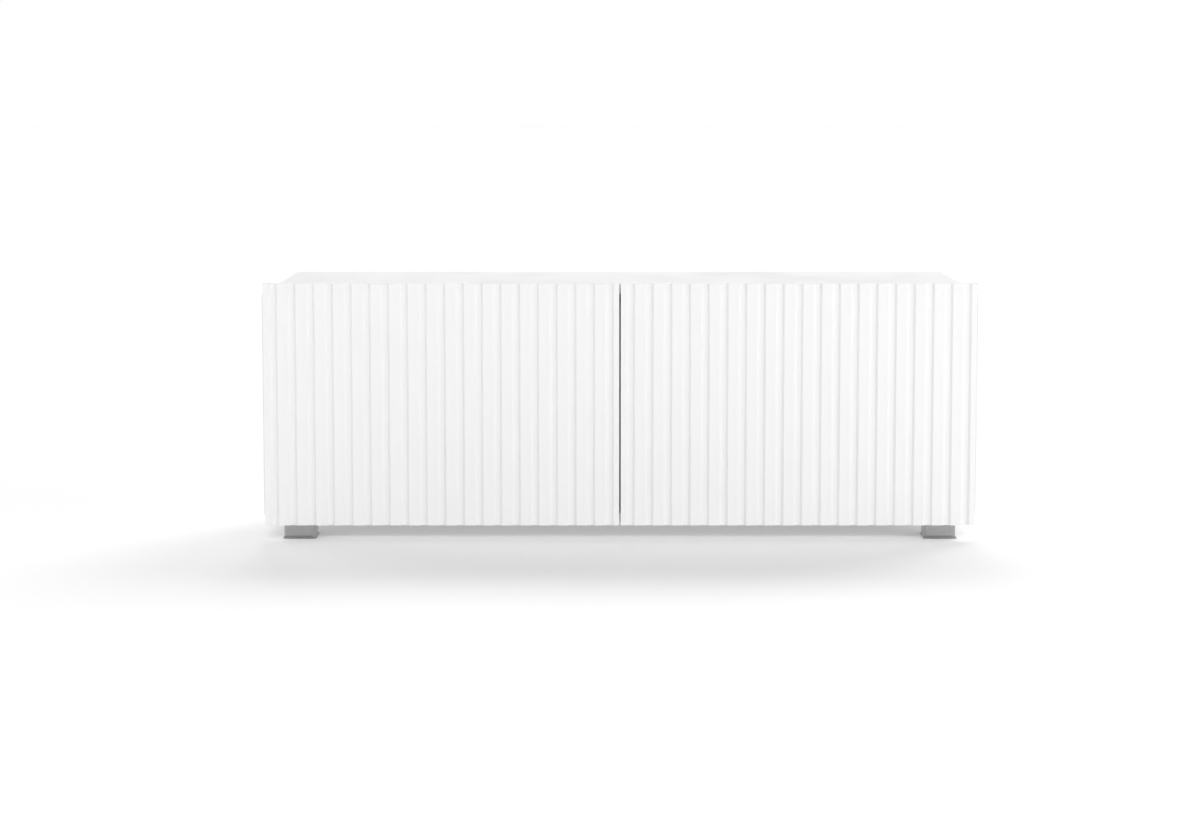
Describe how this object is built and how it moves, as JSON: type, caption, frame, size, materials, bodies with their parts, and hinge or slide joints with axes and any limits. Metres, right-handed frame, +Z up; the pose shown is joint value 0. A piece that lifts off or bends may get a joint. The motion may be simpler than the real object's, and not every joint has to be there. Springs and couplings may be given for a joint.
{
  "type": "tv stand",
  "caption": "Low TV stand with fluted push-open doors over the whole front, shelves inside, cable holes in the back and flared metal block feet.",
  "frame": {"origin": "on the floor, under the middle of the stand in width and depth", "axes": "+X along the width, to the right seen from the front; +Y from the doors to the back; +Z up"},
  "size_m": [1.504, 0.41, 0.545],
  "materials": {
    "white_lacquer": "satin white lacquer on fibreboard",
    "white_melamine": "matt white melamine-faced chipboard",
    "back_board": "white-coated fibreboard",
    "edge_aluminium": "powder-coated aluminium strip",
    "hinge_steel": "brushed stainless steel",
    "zinc_steel": "zinc-plated steel",
    "cast_zinc": "die-cast zinc alloy",
    "latch_plastic": "moulded light grey plastic",
    "plunger_plastic": "moulded dark grey plastic",
    "magnet": "nickel-dull magnet",
    "bumper_rubber": "translucent soft plastic",
    "foot_steel": "fine brushed satin steel",
    "glide_plastic": "black moulded plastic",
    "beech": "turned beech"
  },
  "bodies": {
    "root": {"top_panel": "white_lacquer", "bottom_panel": "white_lacquer", "left_side_panel": "white_lacquer", "right_side_panel": "white_lacquer", "centre_partition": "white_melamine", "left_shelf": "white_melamine", "right_shelf": "white_melamine", "left_back_panel": "back_board", "right_back_panel": "back_board", "left_frame_leaves": "hinge_steel", "right_frame_leaves": "hinge_steel", "left_hinge_pins": "hinge_steel", "right_hinge_pins": "hinge_steel", "left_frame_leaf_screws": "zinc_steel", "right_frame_leaf_screws": "zinc_steel", "left_latch_housing": "latch_plastic", "right_latch_housing": "latch_plastic", "left_latch_spring": "zinc_steel", "right_latch_spring": "zinc_steel", "latch_screws": "zinc_steel", "door_bumpers": "bumper_rubber", "front_left_foot": "foot_steel", "front_right_foot": "foot_steel", "rear_left_foot": "foot_steel", "rear_right_foot": "foot_steel", "foot_glides": "glide_plastic", "foot_screws": "zinc_steel", "left_shelf_pins": "zinc_steel", "right_shelf_pins": "zinc_steel", "cam_locks": "cast_zinc", "cam_bolts": "zinc_steel", "wood_dowels": "beech", "back_panel_screws": "zinc_steel"},
    "left_door": {"left_door": "white_lacquer", "left_edge_strip": "edge_aluminium", "left_door_leaves": "hinge_steel", "left_door_leaf_screws": "zinc_steel", "left_strike_plate": "zinc_steel"},
    "right_door": {"right_door": "white_lacquer", "right_edge_strip": "edge_aluminium", "right_door_leaves": "hinge_steel", "right_door_leaf_screws": "zinc_steel", "right_strike_plate": "zinc_steel"},
    "left_plunger": {"left_latch_plunger": "plunger_plastic", "left_latch_magnet": "magnet"},
    "right_plunger": {"right_latch_plunger": "plunger_plastic", "right_latch_magnet": "magnet"}
  },
  "joints": [
    {"name": "left_door_hinge", "type": "hinge", "parent": "root", "child": "left_door", "pos_m": [-0.7205, -0.1785, 0.289], "axis": [0, 0, -1], "range_deg": [0, 100]},
    {"name": "right_door_hinge", "type": "hinge", "parent": "root", "child": "right_door", "pos_m": [0.7205, -0.1785, 0.289], "axis": [0, 0, 1], "range_deg": [0, 100]},
    {"name": "left_plunger_slide", "type": "slide", "parent": "root", "child": "left_plunger", "axis": [0, -1, 0], "range_m": [0, 0.014]},
    {"name": "right_plunger_slide", "type": "slide", "parent": "root", "child": "right_plunger", "axis": [0, -1, 0], "range_m": [0, 0.014]}
  ],
  "couplings": [
    {"joint": "left_plunger_slide", "follows": "left_door_hinge", "m_per_rad": 0.008},
    {"joint": "right_plunger_slide", "follows": "right_door_hinge", "m_per_rad": 0.008}
  ]
}
